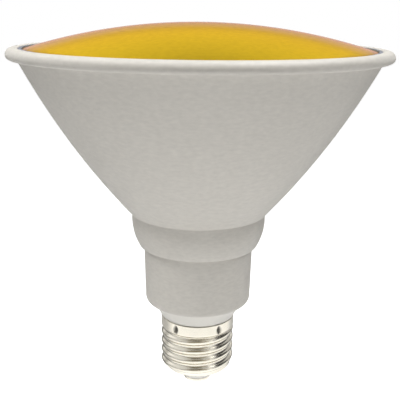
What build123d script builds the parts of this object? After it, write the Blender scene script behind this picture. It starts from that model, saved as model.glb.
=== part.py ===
from build123d import *
import math
import os

# LED reflector lamp of the PAR38 size on an E27 screw cap, in mm.
# Origin: centre of the contact's underside. Z runs up the lamp's axis to the lens.

# Screw cap
cap_height = 26.0
skirt_radius = 13.15
skirt_height = 3.7
crest_radius = 13.1
thread_depth = 1.05
thread_pitch = 3.629
thread_turn = -90.0
thread_overrun = 1
thread_run_out = 0.3
crest_width = 0.9
ridge_width = 2.7
crest_drop_front = 6.2
sheet = 0.35
shell_lift = 5.8
shell_corner = 1.3
mouth_radius = 9.4
dent_count = 5
dent_ball = 1.6
dent_depth = 0.6
dent_drop = 2.0
dent_first_angle = 90.0

# Insulator and contact
insulator_rim = 1.4
contact_radius = 5.0
contact_thickness = 1.3
contact_edge = 0.4
stem_radius = 1.4
stem_rise = 2.0

# Housing, from the collar up
collar_height = 6.0
neck_height = 21.2
neck_draft = 0.45
neck_step = 1.65
neck_round = 1.5
bowl_height = 11.8
bowl_top_radius = 23.2
bowl_taper = 2.45
bowl_straight = 2.5
cone_height = 52.1
cone_top_radius = 58.7
cone_lip = 0.45
cone_bulge = 2.05
rim_overhang = 3.3
rim_width = 3.9
rim_upper_round = 2.0
rim_lower_round = 1.4
wall = 2.2
recess_depth = 2.6
recess_ledge = 4.1
wall_stretches = 3

# Lens and its seal
lens_groove = 1.2
lens_thickness = 2.0
lens_edge_height = 1.5
dome_height = 8.6
seal_thickness = 0.5
seal_lip_height = 1.9
seal_clearance = 0.1

# Driver cup
collar_proud = 0.1
cap_reveal = 0.45
cup_wall = 1.5
cup_floor_rise = 2.0
cup_seat_rise = 3.0
cup_flange = 1.5
cup_tube_rise = 8.0
cup_clearance = 0.25
neck_clearance = 0.1
guide_thickness = 1.2
lead_slot_width = 2.4
lead_slot_height = 10.0

# Heat sink and LED board
sink_drop = 20.5
sink_thickness = 1.5
sink_skirt = 9.0
sink_clearance = 0.4
led_board_radius = 38.0
led_board_thickness = 1.2
wire_hole_radius = 6.5
led_size = (3.5, 2.8, 0.8)
led_ring_radii = (13.0, 22.0, 34.0)
led_ring_counts = (6, 12, 18)
connector_size = (14.0, 8.0, 4.5)

# Board screws and the bosses that take them
screw_count = 3
screw_circle = 28.0
screw_first_angle = 90.0
screw_radius = 1.45
screw_length = 10.0
screw_head_radius = 2.8
screw_head_height = 1.8
screw_hole_clearance = 0.25
pilot_clearance = 0.05
boss_radius = 3.2
boss_hole_spare = 2.0

# Driver board and what stands on it
driver_board_height = 42.0
driver_board_thickness = 1.6
driver_board_offset = 3.2
board_clearance = 0.3
part_gap = 1.0
film_capacitor_depth = 6.0
film_capacitor_height = 9.0
choke_radius = 4.0
choke_height = 9.0
choke_waist = 2.8
choke_flange = 1.6
transformer_height = 13.0
winding_proud = 0.8
winding_share = 0.6
bulk_capacitor_radius = 5.0
output_capacitor_radius = 4.0
output_capacitor_height = 11.0
capacitor_groove = 0.4
capacitor_groove_rise = 1.6
fuse_radius = 1.7
fuse_length = 6.5
fuse_wire = 0.4
fuse_stand = 1.0
rectifier_size = (6.5, 2.5, 5.0)
chip_size = (5.0, 1.6, 4.0)
chip_pins = 4
chip_pin_size = (0.5, 0.6, 1.0)

# Leads
lead_radius = 0.8
lead_spacing = 4.0
lead_depth = 2.2
lead_gap = 0.2
neutral_share = 0.3

# Levels up the axis
z_skirt = cap_height - skirt_height
z_collar_top = cap_height + collar_height
z_collar = cap_height + cap_reveal
z_neck_top = z_collar_top + neck_height
z_cone_bottom = z_neck_top + bowl_height
z_cone_top = z_cone_bottom + cone_height
z_rim = z_cone_top + rim_lower_round + rim_upper_round
z_recess = z_rim - recess_depth
z_insulator_rim = shell_lift + sheet
z_cup_bottom = z_insulator_rim + insulator_rim
z_stem_top = z_cup_bottom + stem_rise
z_cup_floor = z_collar_top + cup_floor_rise
z_cup_seat = z_neck_top + cup_seat_rise
z_cup_top = z_cup_seat + cup_flange + cup_tube_rise
z_sink_top = z_rim - sink_drop
z_sink_seat = z_sink_top - sink_thickness
z_led_board = z_sink_top + led_board_thickness
z_driver_top = z_cup_floor + driver_board_height

# Radii that follow from the ones above
bowl_bottom_radius = bowl_top_radius - bowl_taper
neck_top_radius = bowl_bottom_radius - neck_step
neck_bottom_radius = neck_top_radius - neck_draft
cone_bottom_radius = bowl_top_radius + cone_lip
rim_radius = cone_top_radius + rim_overhang
lens_opening = rim_radius - rim_width
recess_floor_radius = lens_opening - recess_ledge
root_radius = crest_radius - thread_depth
shell_bore = root_radius - sheet
skirt_bore = skirt_radius - sheet
cup_neck_radius = shell_bore - neck_clearance
cup_skirt_radius = skirt_bore - neck_clearance
collar_radius = skirt_radius + collar_proud
cup_neck_bore = cup_neck_radius - cup_wall
housing_bore = neck_bottom_radius - wall
cup_radius = housing_bore - cup_clearance
cup_bore = cup_radius - cup_wall
flange_bore = bowl_bottom_radius - wall
cup_flange_radius = flange_bore - cup_clearance
lens_radius = lens_opening - lens_groove
z_lens_seat = z_recess + seal_thickness
z_lens_edge = z_lens_seat + lens_edge_height
driver_face = driver_board_offset
driver_back = driver_board_offset + driver_board_thickness
driver_middle = driver_board_offset + driver_board_thickness / 2
pilot_radius = screw_radius + pilot_clearance
screw_hole_radius = screw_radius + screw_hole_clearance

ON_FLOOR = (Align.CENTER, Align.CENTER, Align.MIN)
FROM_TOP = (Align.CENTER, Align.CENTER, Align.MAX)


def turned(outline):
    """Solid of revolution about Z from a closed half section given as radius and height."""
    return revolve(Plane.XZ * make_face(outline), Axis.Z)


def lead(start, end):
    """Straight wire between two points, with level ends that meet flat faces."""
    return sweep(Pos(*start) * Circle(lead_radius), Line(start, end))


def around(piece, count, radius, first_angle=0.0):
    """Copies of a piece spread evenly on a circle about Z."""
    return [place * piece for place in PolarLocations(radius, count, start_angle=first_angle)]


def cone_slope():
    """Unit vector across the cone's chord, pointing out and down, as radius and height."""
    run = cone_top_radius - cone_bottom_radius
    length = math.hypot(run, cone_height)
    return cone_height / length, -run / length


def cone_side():
    """Bulged side of the cone from bottom to top."""
    out_r, out_z = cone_slope()
    bottom = (cone_bottom_radius, z_cone_bottom)
    top = (cone_top_radius, z_cone_top)
    middle_r = (bottom[0] + top[0]) / 2 + out_r * cone_bulge
    middle_z = (bottom[1] + top[1]) / 2 + out_z * cone_bulge
    return ThreePointArc(bottom, (middle_r, middle_z), top)


def cone_wall_across():
    """Wall of the cone measured level, so that it is wall thick across its slope."""
    return wall / cone_slope()[0]


def cone_inside_radius(height):
    """Radius of the cone's inner face at a height, from the circle of its bulged side."""
    out_r, out_z = cone_slope()
    chord = math.hypot(cone_top_radius - cone_bottom_radius, cone_height)
    arc_radius = (chord**2 / 4 + cone_bulge**2) / (2 * cone_bulge)
    middle_r = (cone_bottom_radius + cone_top_radius) / 2 - cone_wall_across()
    middle_z = (z_cone_bottom + z_cone_top) / 2
    centre_r = middle_r - out_r * (arc_radius - cone_bulge)
    centre_z = middle_z - out_z * (arc_radius - cone_bulge)
    return centre_r + math.sqrt(arc_radius**2 - (height - centre_z) ** 2)


def housing_outside():
    """Full outer form of the body: neck, bowl, bulged cone and rim bead."""
    bowl_drop = bowl_top_radius - bowl_bottom_radius
    bowl_run = bowl_height - bowl_straight
    bowl_arc = (bowl_run**2 + bowl_drop**2) / (2 * bowl_drop)
    half_turn = math.asin(bowl_run / bowl_arc) / 2
    bowl_middle = (
        bowl_top_radius - bowl_arc * (1 - math.cos(half_turn)),
        z_cone_bottom - bowl_straight - bowl_arc * math.sin(half_turn),
    )
    neck_corner = (neck_bottom_radius - neck_round, z_collar_top)
    neck_side = (neck_bottom_radius, z_collar_top + neck_round)
    bowl_low = (bowl_bottom_radius, z_neck_top)
    bowl_high = (bowl_top_radius, z_cone_bottom - bowl_straight)
    rim_low = (rim_radius - rim_lower_round, z_cone_top)
    rim_out = (rim_radius, z_cone_top + rim_lower_round)
    rim_top = (rim_radius - rim_upper_round, z_rim)
    outline = Polyline((0, z_rim), (0, z_collar_top), neck_corner)
    outline += RadiusArc(neck_corner, neck_side, -neck_round)
    outline += Polyline(neck_side, (neck_top_radius, z_neck_top), bowl_low)
    outline += ThreePointArc(bowl_low, bowl_middle, bowl_high)
    outline += Polyline(bowl_high, (bowl_top_radius, z_cone_bottom), (cone_bottom_radius, z_cone_bottom))
    outline += cone_side()
    outline += Line((cone_top_radius, z_cone_top), rim_low)
    outline += RadiusArc(rim_low, rim_out, -rim_lower_round)
    outline += RadiusArc(rim_out, rim_top, -rim_upper_round)
    outline += Line(rim_top, (0, z_rim))
    return turned(outline)


def housing_cavity():
    """Hollow of the body: neck bore, cup seat, cone and lens recess."""
    stretch = cone_height / wall_stretches
    levels = [z_cone_bottom + stretch * step for step in range(wall_stretches + 1)]
    wall_line = [(cone_inside_radius(level), level) for level in levels]
    cone = turned(Polyline((0, z_cone_top), (0, z_cone_bottom), *wall_line, close=True))
    throat_height = z_rim - z_cone_bottom
    throat = Pos(0, 0, z_cone_bottom) * Cylinder(recess_floor_radius, throat_height, align=ON_FLOOR)
    neck = Pos(0, 0, z_collar_top) * Cylinder(housing_bore, z_cone_top - z_collar_top, align=ON_FLOOR)
    seat = Pos(0, 0, z_cup_seat) * Cylinder(flange_bore, z_cone_top - z_cup_seat, align=ON_FLOOR)
    mouth = Pos(0, 0, z_cone_top) * Cylinder(recess_floor_radius, z_rim - z_cone_top, align=ON_FLOOR)
    recess = Pos(0, 0, z_recess) * Cylinder(lens_opening, recess_depth, align=ON_FLOOR)
    return (cone & throat) + neck + seat + mouth + recess


def housing():
    """Body moulding with three screw bosses under the heat sink."""
    outside = housing_outside()
    boss = Pos(0, 0, z_cone_bottom) * Cylinder(boss_radius, z_sink_seat - z_cone_bottom, align=ON_FLOOR)
    pilot_depth = screw_length + boss_hole_spare
    pilot = Pos(0, 0, z_sink_seat) * Cylinder(pilot_radius, pilot_depth, align=FROM_TOP)
    body = outside - housing_cavity()
    for column in around(boss, screw_count, screw_circle, screw_first_angle):
        body += column & outside
    for hole in around(pilot, screw_count, screw_circle, screw_first_angle):
        body -= hole
    return body


def lens():
    """Domed window of even thickness on a short edge wall."""
    sphere = (lens_radius**2 + dome_height**2) / (2 * dome_height)
    apex = z_lens_edge + dome_height
    inner_radius = lens_radius - lens_thickness
    inner_sphere = sphere - lens_thickness
    centre = apex - sphere
    inner_edge = centre + math.sqrt(inner_sphere**2 - inner_radius**2)
    half = math.asin(lens_radius / sphere) / 2
    inner_half = math.asin(inner_radius / inner_sphere) / 2
    outer_middle = (sphere * math.sin(half), centre + sphere * math.cos(half))
    inner_middle = (inner_sphere * math.sin(inner_half), centre + inner_sphere * math.cos(inner_half))
    outline = ThreePointArc((lens_radius, z_lens_edge), outer_middle, (0, apex))
    outline += Line((0, apex), (0, apex - lens_thickness))
    outline += ThreePointArc((0, apex - lens_thickness), inner_middle, (inner_radius, inner_edge))
    outline += Polyline(
        (inner_radius, inner_edge),
        (inner_radius, z_lens_seat),
        (lens_radius, z_lens_seat),
        (lens_radius, z_lens_edge),
    )
    return turned(outline)


def lens_seal():
    """Silicone ring of L section under the lens edge and up the groove beside it."""
    outer = lens_opening - seal_clearance
    lip = lens_radius + seal_clearance
    return turned(
        Polyline(
            (recess_floor_radius, z_recess),
            (outer, z_recess),
            (outer, z_lens_seat + seal_lip_height),
            (lip, z_lens_seat + seal_lip_height),
            (lip, z_lens_seat),
            (recess_floor_radius, z_lens_seat),
            close=True,
        )
    )


def dent_balls(extra):
    """Balls that press the crimp dents into the skirt, larger by extra."""
    ball = Pos(0, 0, cap_height - dent_drop) * Sphere(dent_ball + extra)
    centre = skirt_radius - dent_depth + dent_ball
    return around(ball, dent_count, centre, dent_first_angle)


def thread_ridge():
    """Right-handed ridge of the rolled thread, run past both ends and cut where it fades out."""
    buried = root_radius - shell_corner
    front_crest = cap_height - crest_drop_front
    turns_down = math.ceil((front_crest - shell_lift) / thread_pitch) + thread_overrun
    start = front_crest - turns_down * thread_pitch
    section = make_face(
        Polyline(
            (buried, start - ridge_width / 2),
            (crest_radius, start - crest_width / 2),
            (crest_radius, start + crest_width / 2),
            (buried, start + ridge_width / 2),
            close=True,
        )
    )
    length = (turns_down + thread_overrun) * thread_pitch
    path = Pos(0, 0, start) * Helix(thread_pitch, length, root_radius)
    ridge = Rot(0, 0, thread_turn) * sweep(Plane.XZ * section, path, is_frenet=True)
    reach = crest_radius + sheet
    low = shell_lift + shell_corner + thread_run_out
    envelope = turned(
        Polyline(
            (0, low - root_radius),
            (reach, low + reach - root_radius),
            (reach, z_skirt - thread_depth),
            (skirt_radius, z_skirt),
            (0, z_skirt),
            close=True,
        )
    )
    return ridge & envelope


def shell_form():
    """Full form of the shell without its thread: lower corner, threaded length, flare and skirt."""
    return turned(
        Polyline(
            (0, shell_lift),
            (root_radius - shell_corner, shell_lift),
            (root_radius, shell_lift + shell_corner),
            (root_radius, z_skirt - thread_depth),
            (skirt_radius, z_skirt),
            (skirt_radius, cap_height),
            (0, cap_height),
            close=True,
        )
    )


def screw_shell():
    """Rolled sheet shell: plain skirt with crimp dents, helical thread, turned-in lower mouth."""
    form = shell_form()
    for ball in dent_balls(0.0):
        form -= ball
    bore = turned(
        Polyline(
            (0, z_insulator_rim),
            (shell_bore - shell_corner, z_insulator_rim),
            (shell_bore, z_insulator_rim + shell_corner),
            (shell_bore, z_skirt - thread_depth),
            (skirt_bore, z_skirt),
            (skirt_bore, cap_height),
            (0, cap_height),
            close=True,
        )
    )
    for ball in dent_balls(sheet):
        bore -= ball
    mouth = Pos(0, 0, shell_lift) * Cylinder(mouth_radius, sheet, align=ON_FLOOR)
    return form + thread_ridge() - bore - mouth


def cap_insulator():
    """Insulating cone in the shell's mouth, with a rim that lies on the turned-in sheet."""
    rim = shell_bore - neck_clearance
    shoulder = mouth_radius - neck_clearance
    bore = stem_radius + neck_clearance
    return turned(
        Polyline(
            (bore, contact_thickness),
            (contact_radius, contact_thickness),
            (shoulder, shell_lift),
            (shoulder, z_insulator_rim),
            (rim - shell_corner, z_insulator_rim),
            (rim, z_insulator_rim + shell_corner),
            (rim, z_cup_bottom),
            (bore, z_cup_bottom),
            close=True,
        )
    )


def centre_contact():
    """Contact disc with a softened edge and the stem that holds it in the insulator."""
    return turned(
        Polyline(
            (0, 0),
            (contact_radius - contact_edge, 0),
            (contact_radius, contact_edge),
            (contact_radius, contact_thickness),
            (stem_radius, contact_thickness),
            (stem_radius, z_stem_top),
            (0, z_stem_top),
            close=True,
        )
    )


def driver_cup():
    """Plastic cup in the neck: cap neck, visible collar, seat flange and board guides."""
    cup = turned(
        Polyline(
            (cup_neck_bore, z_cup_bottom),
            (cup_neck_radius, z_cup_bottom),
            (cup_neck_radius, z_skirt),
            (cup_skirt_radius, z_skirt + thread_depth),
            (cup_skirt_radius, z_collar),
            (collar_radius, z_collar),
            (cup_radius, z_collar_top),
            (cup_radius, z_cup_seat),
            (cup_flange_radius, z_cup_seat),
            (cup_flange_radius, z_cup_seat + cup_flange),
            (cup_radius, z_cup_seat + cup_flange),
            (cup_radius, z_cup_top),
            (cup_bore, z_cup_top),
            (cup_bore, z_cup_floor),
            (cup_neck_bore, z_cup_floor),
            close=True,
        )
    )
    for ball in dent_balls(sheet + neck_clearance):
        cup -= ball
    guides = board_guides()
    slot = Pos(0, driver_middle, z_cup_bottom) * Box(
        cup_neck_radius, lead_slot_width, lead_slot_height, align=(Align.MAX, Align.CENTER, Align.MIN)
    )
    return cup + guides - slot


def board_half_width():
    """Half the driver board's width, which fills the cup at the board's back face."""
    return math.sqrt((cup_bore - board_clearance) ** 2 - driver_back**2)


def part_width():
    """Width of a part that fills its half of the driver board between middle and guides."""
    return board_half_width() - guide_thickness - part_gap - part_gap / 2


def depth_to_cup(x):
    """How far a part may stand off the driver board at x and keep its gap to the cup's wall."""
    return driver_face + math.sqrt((cup_bore - part_gap) ** 2 - x**2)


def board_guides():
    """Ribs on the cup's wall, either side of the driver board's two long edges."""
    height = z_cup_top - z_cup_floor
    bore = Pos(0, 0, z_cup_floor) * Cylinder(cup_bore + cup_wall / 2, height, align=ON_FLOOR)
    reach = board_half_width() - guide_thickness
    away = driver_board_thickness / 2 + board_clearance + guide_thickness / 2
    block = Box(cup_bore - reach + cup_wall, guide_thickness, height, align=ON_FLOOR)
    guides = []
    for side in (-1, 1):
        for y in (driver_middle - away, driver_middle + away):
            rib = Pos(side * (reach + cup_bore) / 2, y, z_cup_floor) * block
            guides.append(rib & bore)
    return guides


def heat_sink():
    """Pressed dish: flat plate on the bosses with a rim turned down along the cone."""
    z_low = z_sink_top - sink_skirt
    top = cone_inside_radius(z_sink_seat) - sink_clearance
    low = cone_inside_radius(z_low) - sink_clearance
    dish = turned(
        Polyline(
            (wire_hole_radius, z_sink_seat),
            (top - sink_thickness, z_sink_seat),
            (low - sink_thickness, z_low),
            (low, z_low),
            (top, z_sink_top),
            (wire_hole_radius, z_sink_top),
            close=True,
        )
    )
    hole = Pos(0, 0, z_sink_seat) * Cylinder(screw_hole_radius, sink_thickness, align=ON_FLOOR)
    for cut in around(hole, screw_count, screw_circle, screw_first_angle):
        dish -= cut
    return dish


def led_board():
    """Round metal-core board with the wire hole and three screw holes."""
    board = Cylinder(led_board_radius, led_board_thickness, align=ON_FLOOR)
    board -= Cylinder(wire_hole_radius, led_board_thickness, align=ON_FLOOR)
    hole = Cylinder(screw_hole_radius, led_board_thickness, align=ON_FLOOR)
    for cut in around(hole, screw_count, screw_circle, screw_first_angle):
        board -= cut
    return Pos(0, 0, z_sink_top) * board


def leds():
    """LED packages in rings on the board."""
    package = Pos(0, 0, z_led_board) * Box(*led_size, align=ON_FLOOR)
    packages = []
    for radius, count in zip(led_ring_radii, led_ring_counts):
        packages += around(package, count, radius, 180.0 / count)
    return packages


def board_screws():
    """Pan-head screws through board and dish into the bosses."""
    head = Pos(0, 0, z_led_board) * Cylinder(screw_head_radius, screw_head_height, align=ON_FLOOR)
    shank = Pos(0, 0, z_led_board) * Cylinder(screw_radius, screw_length, align=FROM_TOP)
    return around(head + shank, screw_count, screw_circle, screw_first_angle)


def lead_connector():
    """Bottom-entry connector over the wire hole, with a bore for each lead."""
    block = Pos(0, driver_middle, z_led_board) * Box(*connector_size, align=ON_FLOOR)
    bore = Pos(0, driver_middle, z_led_board) * Cylinder(lead_radius + lead_gap, lead_depth, align=ON_FLOOR)
    for side in (-1, 1):
        block -= Pos(side * lead_spacing / 2, 0, 0) * bore
    return block


def led_lead(side):
    """Lead from the driver board's top edge to its bore in the connector."""
    x = side * lead_spacing / 2
    return lead((x, driver_middle, z_driver_top), (x, driver_middle, z_led_board + lead_depth))


def live_lead():
    """Lead from the driver board's lower edge to the contact's stem."""
    return lead((0, driver_middle, z_cup_floor), (0, 0, z_stem_top))


def neutral_lead():
    """Lead from the driver board's lower edge through the neck's slot to the shell."""
    reach = shell_bore - lead_radius - lead_gap
    end_x = -math.sqrt(reach**2 - driver_middle**2)
    start_x = -board_half_width() * neutral_share
    return lead((start_x, driver_middle, z_cup_floor), (end_x, driver_middle, z_cup_bottom + lead_gap))


def driver_board():
    """Upright board that stands on the cup's floor between the guides."""
    width = 2 * board_half_width()
    return Pos(0, driver_middle, z_cup_floor) * Box(
        width, driver_board_thickness, driver_board_height, align=ON_FLOOR
    )


def row_levels():
    """Middle heights of the three rows of components on the driver board."""
    heights = (
        max(film_capacitor_height, 2 * choke_radius),
        max(transformer_height, 2 * bulk_capacitor_radius),
        max(2 * output_capacitor_radius, 2 * fuse_radius),
    )
    levels = []
    z = z_cup_floor + part_gap
    for height in heights:
        levels.append(z + height / 2)
        z += height + part_gap
    return levels


def on_board(piece, x, z):
    """Stand a piece, built upwards from z = 0, off the driver board's front face."""
    return Pos(x, driver_face, z) * Rot(90, 0, 0) * piece


def capacitor(radius, height):
    """Electrolytic can with the rolled groove near its foot."""
    can = Cylinder(radius, height, align=ON_FLOOR)
    ring = Cylinder(radius, capacitor_groove, align=ON_FLOOR)
    ring -= Cylinder(radius - capacitor_groove, capacitor_groove, align=ON_FLOOR)
    return can - Pos(0, 0, capacitor_groove_rise) * ring


def bulk_capacitor():
    """Input electrolytic, left of the transformer."""
    x = -(bulk_capacitor_radius + part_gap / 2)
    height = depth_to_cup(x - bulk_capacitor_radius)
    return on_board(capacitor(bulk_capacitor_radius, height), x, row_levels()[1])


def output_capacitor():
    """Output electrolytic, top row."""
    x = -(output_capacitor_radius + part_gap / 2)
    return on_board(capacitor(output_capacitor_radius, output_capacitor_height), x, row_levels()[2])


def film_capacitor():
    """Boxed film capacitor, bottom row."""
    width = part_width()
    box = Box(width, film_capacitor_height, film_capacitor_depth, align=ON_FLOOR)
    return on_board(box, -(width + part_gap) / 2, row_levels()[0])


def filter_choke():
    """Drum-core choke: two flanges and a wound waist."""
    drum = Cylinder(choke_radius, choke_flange, align=ON_FLOOR)
    drum += Cylinder(choke_waist, choke_height, align=ON_FLOOR)
    drum += Pos(0, 0, choke_height) * Cylinder(choke_radius, choke_flange, align=FROM_TOP)
    return on_board(drum, choke_radius + part_gap / 2, row_levels()[0])


def transformer():
    """Ferrite core block with the taped winding standing proud of it."""
    width = part_width()
    depth = depth_to_cup(width + part_gap / 2)
    core = Box(width, transformer_height, depth - winding_proud, align=ON_FLOOR)
    winding = Box(width * winding_share, transformer_height * winding_share, depth, align=ON_FLOOR)
    return on_board(core + winding, (width + part_gap) / 2, row_levels()[1])


def fuse_resistor():
    """Axial fusible resistor on its two bent wires."""
    level = fuse_stand + fuse_radius
    body = Pos(0, 0, level) * Rot(0, 90, 0) * Cylinder(fuse_radius, fuse_length)
    for side in (-1, 1):
        leg = Pos(side * fuse_length / 2, 0, 0) * Cylinder(fuse_wire, level, align=ON_FLOOR)
        body += leg
    return on_board(body, fuse_length / 2 + fuse_wire + part_gap, row_levels()[2])


def bridge_rectifier():
    """Rectifier package on the board's back face."""
    width, depth, height = rectifier_size
    return Pos(0, driver_back + depth / 2, row_levels()[0]) * Box(width, depth, height)


def driver_chip():
    """Driver package with a row of legs at each end, on the board's back face."""
    width, depth, height = chip_size
    pin_width, pin_depth, pin_length = chip_pin_size
    chip = Pos(0, driver_back + depth / 2, 0) * Box(width, depth, height)
    pitch = width / chip_pins
    for index in range(chip_pins):
        x = (index - (chip_pins - 1) / 2) * pitch
        chip += Pos(x, driver_back + pin_depth / 2, 0) * Box(pin_width, pin_depth, height + 2 * pin_length)
    return Pos(0, 0, row_levels()[1]) * chip


def pieces():
    """Every node of the lamp by name."""
    return {
        "lens": lens(),
        "lens_seal": lens_seal(),
        "housing": housing(),
        "driver_cup": driver_cup(),
        "screw_shell": screw_shell(),
        "cap_insulator": cap_insulator(),
        "centre_contact": centre_contact(),
        "heat_sink": heat_sink(),
        "led_board": led_board(),
        "leds": Compound(children=leds()),
        "board_screws": Compound(children=board_screws()),
        "lead_connector": lead_connector(),
        "led_lead_positive": led_lead(1),
        "led_lead_negative": led_lead(-1),
        "driver_board": driver_board(),
        "transformer": transformer(),
        "bulk_capacitor": bulk_capacitor(),
        "output_capacitor": output_capacitor(),
        "film_capacitor": film_capacitor(),
        "filter_choke": filter_choke(),
        "fuse_resistor": fuse_resistor(),
        "bridge_rectifier": bridge_rectifier(),
        "driver_chip": driver_chip(),
        "live_lead": live_lead(),
        "neutral_lead": neutral_lead(),
    }


os.makedirs("parts", exist_ok=True)
for name, piece in pieces().items():
    export_step(piece, f"parts/{name}.step")
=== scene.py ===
"""Surfaces, finishes and studio of an amber reflector lamp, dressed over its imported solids."""

import math

import bpy
import numpy as np
from mathutils import Matrix, Vector


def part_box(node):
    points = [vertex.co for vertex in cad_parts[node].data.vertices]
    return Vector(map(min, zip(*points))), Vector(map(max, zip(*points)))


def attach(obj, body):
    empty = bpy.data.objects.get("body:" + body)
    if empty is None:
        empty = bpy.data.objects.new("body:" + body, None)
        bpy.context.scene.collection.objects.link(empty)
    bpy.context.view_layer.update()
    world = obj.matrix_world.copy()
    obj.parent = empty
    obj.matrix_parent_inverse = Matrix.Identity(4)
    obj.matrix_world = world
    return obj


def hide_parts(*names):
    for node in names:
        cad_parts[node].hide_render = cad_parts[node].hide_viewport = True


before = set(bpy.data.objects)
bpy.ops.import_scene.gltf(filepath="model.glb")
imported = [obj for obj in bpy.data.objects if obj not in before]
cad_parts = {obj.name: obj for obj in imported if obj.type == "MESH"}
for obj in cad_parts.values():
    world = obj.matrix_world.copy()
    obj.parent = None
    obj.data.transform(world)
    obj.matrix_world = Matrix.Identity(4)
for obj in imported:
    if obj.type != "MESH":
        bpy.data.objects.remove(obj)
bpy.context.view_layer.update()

bl_info = {
    "name": "Amber reflector lamp",
    "version": (1, 0, 0),
    "blender": (4, 5, 0),
    "location": "View3D > Sidebar > Lamp",
    "description": "Builds the visible surfaces, finishes and studio of a reflector lamp",
    "category": "Add Mesh",
}

MM = 0.001
PHOTO_WIDTH = 400.0
SENSOR_WIDTH = 36.0
SINK_SHEET = 1.5 * MM  # heat sink between the bosses and the LED board
SAME_POINT = 1e-7  # points of a profile that lie closer than this, in metres, are one

# Fineness of the surfaces: the longest stretch in each profile, and the columns that it is carried round in.
BODY_STEP, BODY_COLUMNS = 0.8 * MM, 192
BOSS_COLUMNS = 32
LENS_STEP, LENS_COLUMNS = 1.5 * MM, 192
SHELL_STEP, SHELL_COLUMNS = 0.16 * MM, 224
INSULATOR_STEP, INSULATOR_COLUMNS = 0.4 * MM, 96
CONTACT_STEP, CONTACT_COLUMNS = 0.5 * MM, 96


def linear(code):
    """Linear colour of an sRGB hex value such as #C8C4BC."""
    srgb = np.array([int(code[i : i + 2], 16) for i in (1, 3, 5)]) / 255.0
    return tuple(np.where(srgb <= 0.04045, srgb / 12.92, ((srgb + 0.055) / 1.055) ** 2.4))


def length(name, description, default):
    """Property for a length, with its default in metres."""
    return bpy.props.FloatProperty(
        name=name, description=description, default=default, unit="LENGTH", precision=5
    )


def colour(name, description, code):
    """Property for a colour, with its default as an sRGB hex value."""
    return bpy.props.FloatVectorProperty(
        name=name, description=description, default=linear(code), subtype="COLOR", size=3, min=0.0, max=1.0
    )


def level(name, description, default):
    """Property for a plain number."""
    return bpy.props.FloatProperty(name=name, description=description, default=default, precision=4)


def lean(name, description, default):
    """Property for an angle, with its default in radians."""
    return bpy.props.FloatProperty(name=name, description=description, default=default, subtype="ANGLE")


def number(name, description, default):
    """Property for a count of like features."""
    return bpy.props.IntProperty(name=name, description=description, default=default, min=1)


def top_of(node):
    """Highest level of a solid, in metres."""
    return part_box(node)[1].z


def foot_of(node):
    """Lowest level of a solid, in metres."""
    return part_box(node)[0].z


def radius_of(node):
    """Outer radius of a solid turned about Z, in metres."""
    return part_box(node)[1].x


class BodySizes(bpy.types.PropertyGroup):
    """Sizes of the grey body, from the neck up to the rim bead."""

    foot: length("Foot", "Level of the neck's lower end", foot_of("housing"))
    rim_top: length("Rim top", "Level of the rim's upper face", top_of("housing"))
    rim_radius: length("Rim radius", "Outer radius of the rim bead", radius_of("housing"))
    neck_foot_radius: length("Neck foot radius", "Radius of the neck at its foot", 18.65 * MM)
    neck_top_radius: length("Neck top radius", "Radius of the neck under the bowl", 19.1 * MM)
    neck_height: length("Neck height", "From the neck's foot to the bowl's lip", 21.2 * MM)
    neck_round: length("Neck rounding", "Rounding of the neck's foot", 1.5 * MM)
    bowl_foot_radius: length("Bowl foot radius", "Radius of the bowl's lower lip", 20.75 * MM)
    bowl_top_radius: length("Bowl top radius", "Radius of the bowl under the cone", 23.2 * MM)
    bowl_height: length("Bowl height", "From the bowl's lip to the cone", 11.8 * MM)
    bowl_straight: length("Bowl straight", "Straight stretch at the bowl's top", 2.5 * MM)
    cone_foot_radius: length("Cone foot radius", "Radius of the cone's lower lip", 23.65 * MM)
    cone_top_radius: length("Cone top radius", "Radius of the cone under the rim", 58.7 * MM)
    cone_bulge: length("Cone bulge", "How far the cone's side swells out of its chord", 2.05 * MM)
    rim_under: length("Bead under rounding", "Rounding of the bead's underside", 1.4 * MM)
    rim_over: length("Bead upper rounding", "Rounding of the bead's upper side", 2.0 * MM)
    opening: length("Lens opening", "Radius of the recess that takes the lens", 58.1 * MM)
    recess: length("Recess depth", "Depth of the lens recess", 2.6 * MM)
    throat: length("Throat radius", "Radius of the opening in the recess floor", 54.0 * MM)
    wall: length("Wall", "Wall across the cone's slope", 2.2 * MM)
    cup_seat: length("Cup seat", "Step inside the bowl that takes the driver cup", 3.0 * MM)
    lip_round: length("Lip rounding", "Rounding of the moulded lips", 0.35 * MM)
    boss_radius: length("Boss radius", "Radius of the screw bosses", 3.2 * MM)
    boss_circle: length("Boss circle", "Radius of the circle of bosses", 28.0 * MM)
    boss_count: number("Bosses", "Screw bosses under the heat sink", 3)
    boss_top: length("Boss top", "Level of the bosses' upper faces", foot_of("led_board") - SINK_SHEET)
    pilot_radius: length("Pilot radius", "Radius of the screw hole in a boss", 1.5 * MM)
    pilot_depth: length("Pilot depth", "Depth of the screw hole in a boss", 12.0 * MM)


class LensSizes(bpy.types.PropertyGroup):
    """Sizes of the domed lens."""

    foot: length("Foot", "Level of the lens edge's underside", foot_of("lens"))
    top: length("Top", "Level of the dome's apex", top_of("lens"))
    radius: length("Radius", "Outer radius of the lens", radius_of("lens"))
    edge: length("Edge", "Height of the short edge wall", 1.5 * MM)
    thickness: length("Thickness", "Wall of the dome", 2.0 * MM)
    # The edge band and the last three settings below size the painted shade in the lens colour: a darker edge
    # and a darker front patch.
    painted_edge_band: length("Edge band", "Width of the darker edge that goes into the seal", 2.6 * MM)
    edge_round: length("Edge rounding", "Rounding between dome and edge wall", 0.5 * MM)
    painted_edge_shade: level("Edge shade", "Darkening of the edge as a share of the patch's", 0.7)
    painted_patch_width: length("Patch width", "Half width of the darker patch at the front", 65.0 * MM)
    painted_patch_reach: length("Patch reach", "How far the patch reaches back and up", 30.0 * MM)


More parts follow.
